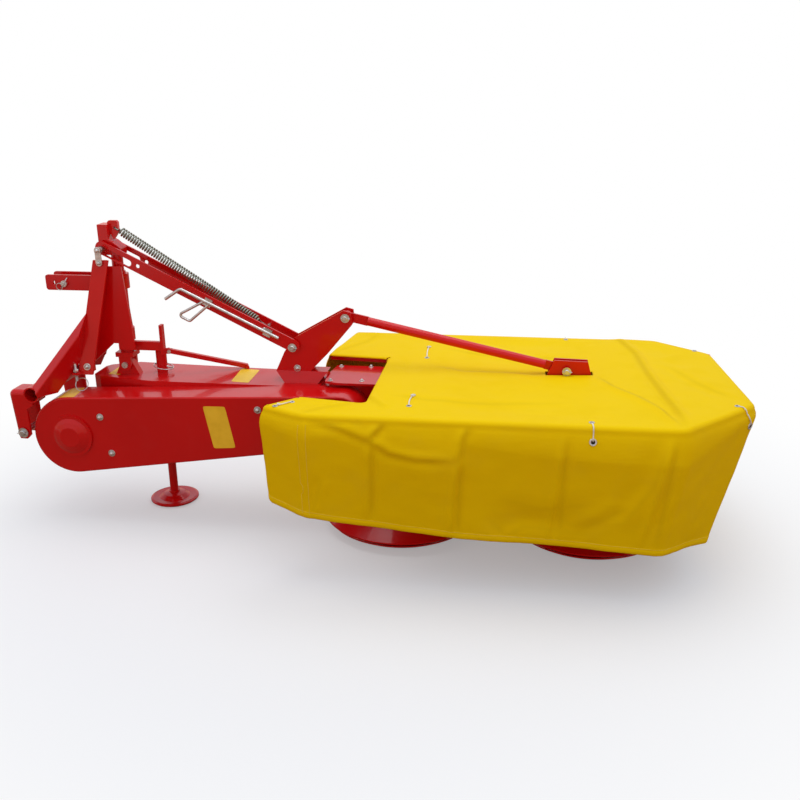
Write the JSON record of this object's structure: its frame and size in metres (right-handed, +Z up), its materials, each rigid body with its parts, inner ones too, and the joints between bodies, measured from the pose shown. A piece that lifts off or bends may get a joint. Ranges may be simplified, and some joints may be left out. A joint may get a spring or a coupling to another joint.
{
  "type": "drum mower",
  "caption": "Towed two-drum mower for a tractor's three-point linkage, with swinging mast, belt guard, lift link, spring, parking leg and fabric safety cover.",
  "frame": {"origin": "middle of the machine's plan outline, on the ground", "axes": "+X along the machine from the hitch to the far end of the cover, +Y across it towards the input shaft's side, +Z up"},
  "size_m": [3.0744, 1.21, 1.331],
  "materials": {
    "red_paint": "glossy red enamel over pressed and welded steel",
    "zinc_steel": "zinc plated, satin",
    "spring_steel": "plated spring wire, satin",
    "knife_steel": "ground spring steel",
    "yellow_cover": "coated yellow tarpaulin, soft sheen"
  },
  "bodies": {
    "headstock": {"hitch_tube": "red_paint", "hitch_bracket_near": "red_paint", "hitch_bracket_far": "red_paint", "hitch_pins": "zinc_steel", "lower_frame": "red_paint", "mast_cheek_near": "red_paint", "mast_cheek_far": "red_paint", "diagonal_near": "red_paint", "diagonal_far": "red_paint", "brace_near": "red_paint", "brace_far": "red_paint", "post_bearings": "red_paint", "top_link_clevis": "red_paint", "top_link_pin": "zinc_steel"},
    "post": {"swing_post": "red_paint", "mast_head": "red_paint", "mast_pin": "zinc_steel", "release_bar": "red_paint", "strut_pin": "zinc_steel"},
    "strut": {"release_strut": "red_paint"},
    "boom": {"main_beam": "red_paint", "tilt_lugs": "red_paint", "tilt_pin": "zinc_steel", "leg_sleeve": "red_paint", "tower_saddle": "red_paint", "link_tower": "red_paint", "linkage_pins": "zinc_steel", "stay_rod": "red_paint", "stay_bracket": "red_paint", "belt_guard": "red_paint", "input_housing": "red_paint", "gear_case": "red_paint", "gear_box": "red_paint", "canopy_frame": "red_paint", "canopy_cover": "yellow_cover"},
    "link": {"link_arm_near": "red_paint", "link_arm_far": "red_paint", "link_spacers": "red_paint", "latch_rod": "zinc_steel", "lift_spring": "spring_steel"},
    "leg": {"support_leg": "red_paint", "foot_plate": "red_paint"},
    "shaft": {"input_shaft": "zinc_steel"},
    "left_drum": {"drum_left": "red_paint", "knives_left": "knife_steel"},
    "right_drum": {"drum_right": "red_paint", "knives_right": "knife_steel"},
    "left_dish": {"skid_dish_left": "red_paint"},
    "right_dish": {"skid_dish_right": "red_paint"}
  },
  "joints": [
    {"name": "swing", "type": "hinge", "parent": "headstock", "child": "post", "pos_m": [-1.096, 0.04, 0.9], "axis": [0, 0, 1], "range_deg": [0, 90]},
    {"name": "tilt", "type": "hinge", "parent": "post", "child": "boom", "pos_m": [-1.096, 0.04, 0.69], "axis": [0, -1, 0], "range_deg": [0, 12], "deforming": ["lift_spring"]},
    {"name": "link_pivot", "type": "hinge", "parent": "boom", "child": "link", "pos_m": [-0.314, 0.04, 0.8], "axis": [0, -1, 0], "range_deg": [-3.5, 0]},
    {"name": "strut_pivot", "type": "hinge", "parent": "post", "child": "strut", "pos_m": [-0.9, 0.04, 0.752], "axis": [0.3907, -0.9205, 0], "range_deg": [0, 18.5]},
    {"name": "leg_slide", "type": "slide", "parent": "boom", "child": "leg", "axis": [0, 0, 1], "range_m": [0, 0.15]},
    {"name": "left_drum_spin", "type": "hinge", "parent": "boom", "child": "left_drum", "pos_m": [0.164, 0, 0.3], "axis": [0, 0, 1], "continuous": true},
    {"name": "right_drum_spin", "type": "hinge", "parent": "boom", "child": "right_drum", "pos_m": [0.989, 0, 0.3], "axis": [0, 0, 1], "continuous": true},
    {"name": "shaft_spin", "type": "hinge", "parent": "boom", "child": "shaft", "pos_m": [-1.276, 0.15, 0.424], "axis": [0, 1, 0], "continuous": true},
    {"name": "left_dish_spin", "type": "hinge", "parent": "boom", "child": "left_dish", "pos_m": [0.164, 0, 0.03], "axis": [0, 0, 1], "continuous": true},
    {"name": "right_dish_spin", "type": "hinge", "parent": "boom", "child": "right_dish", "pos_m": [0.989, 0, 0.03], "axis": [0, 0, 1], "continuous": true}
  ],
  "couplings": [
    {"joint": "link_pivot", "follows": "tilt", "ratio": -0.2775},
    {"joint": "strut_pivot", "follows": "tilt", "ratio": 1.53},
    {"joint": "right_drum_spin", "follows": "left_drum_spin", "ratio": -1},
    {"joint": "shaft_spin", "follows": "left_drum_spin", "ratio": 0.3077}
  ]
}
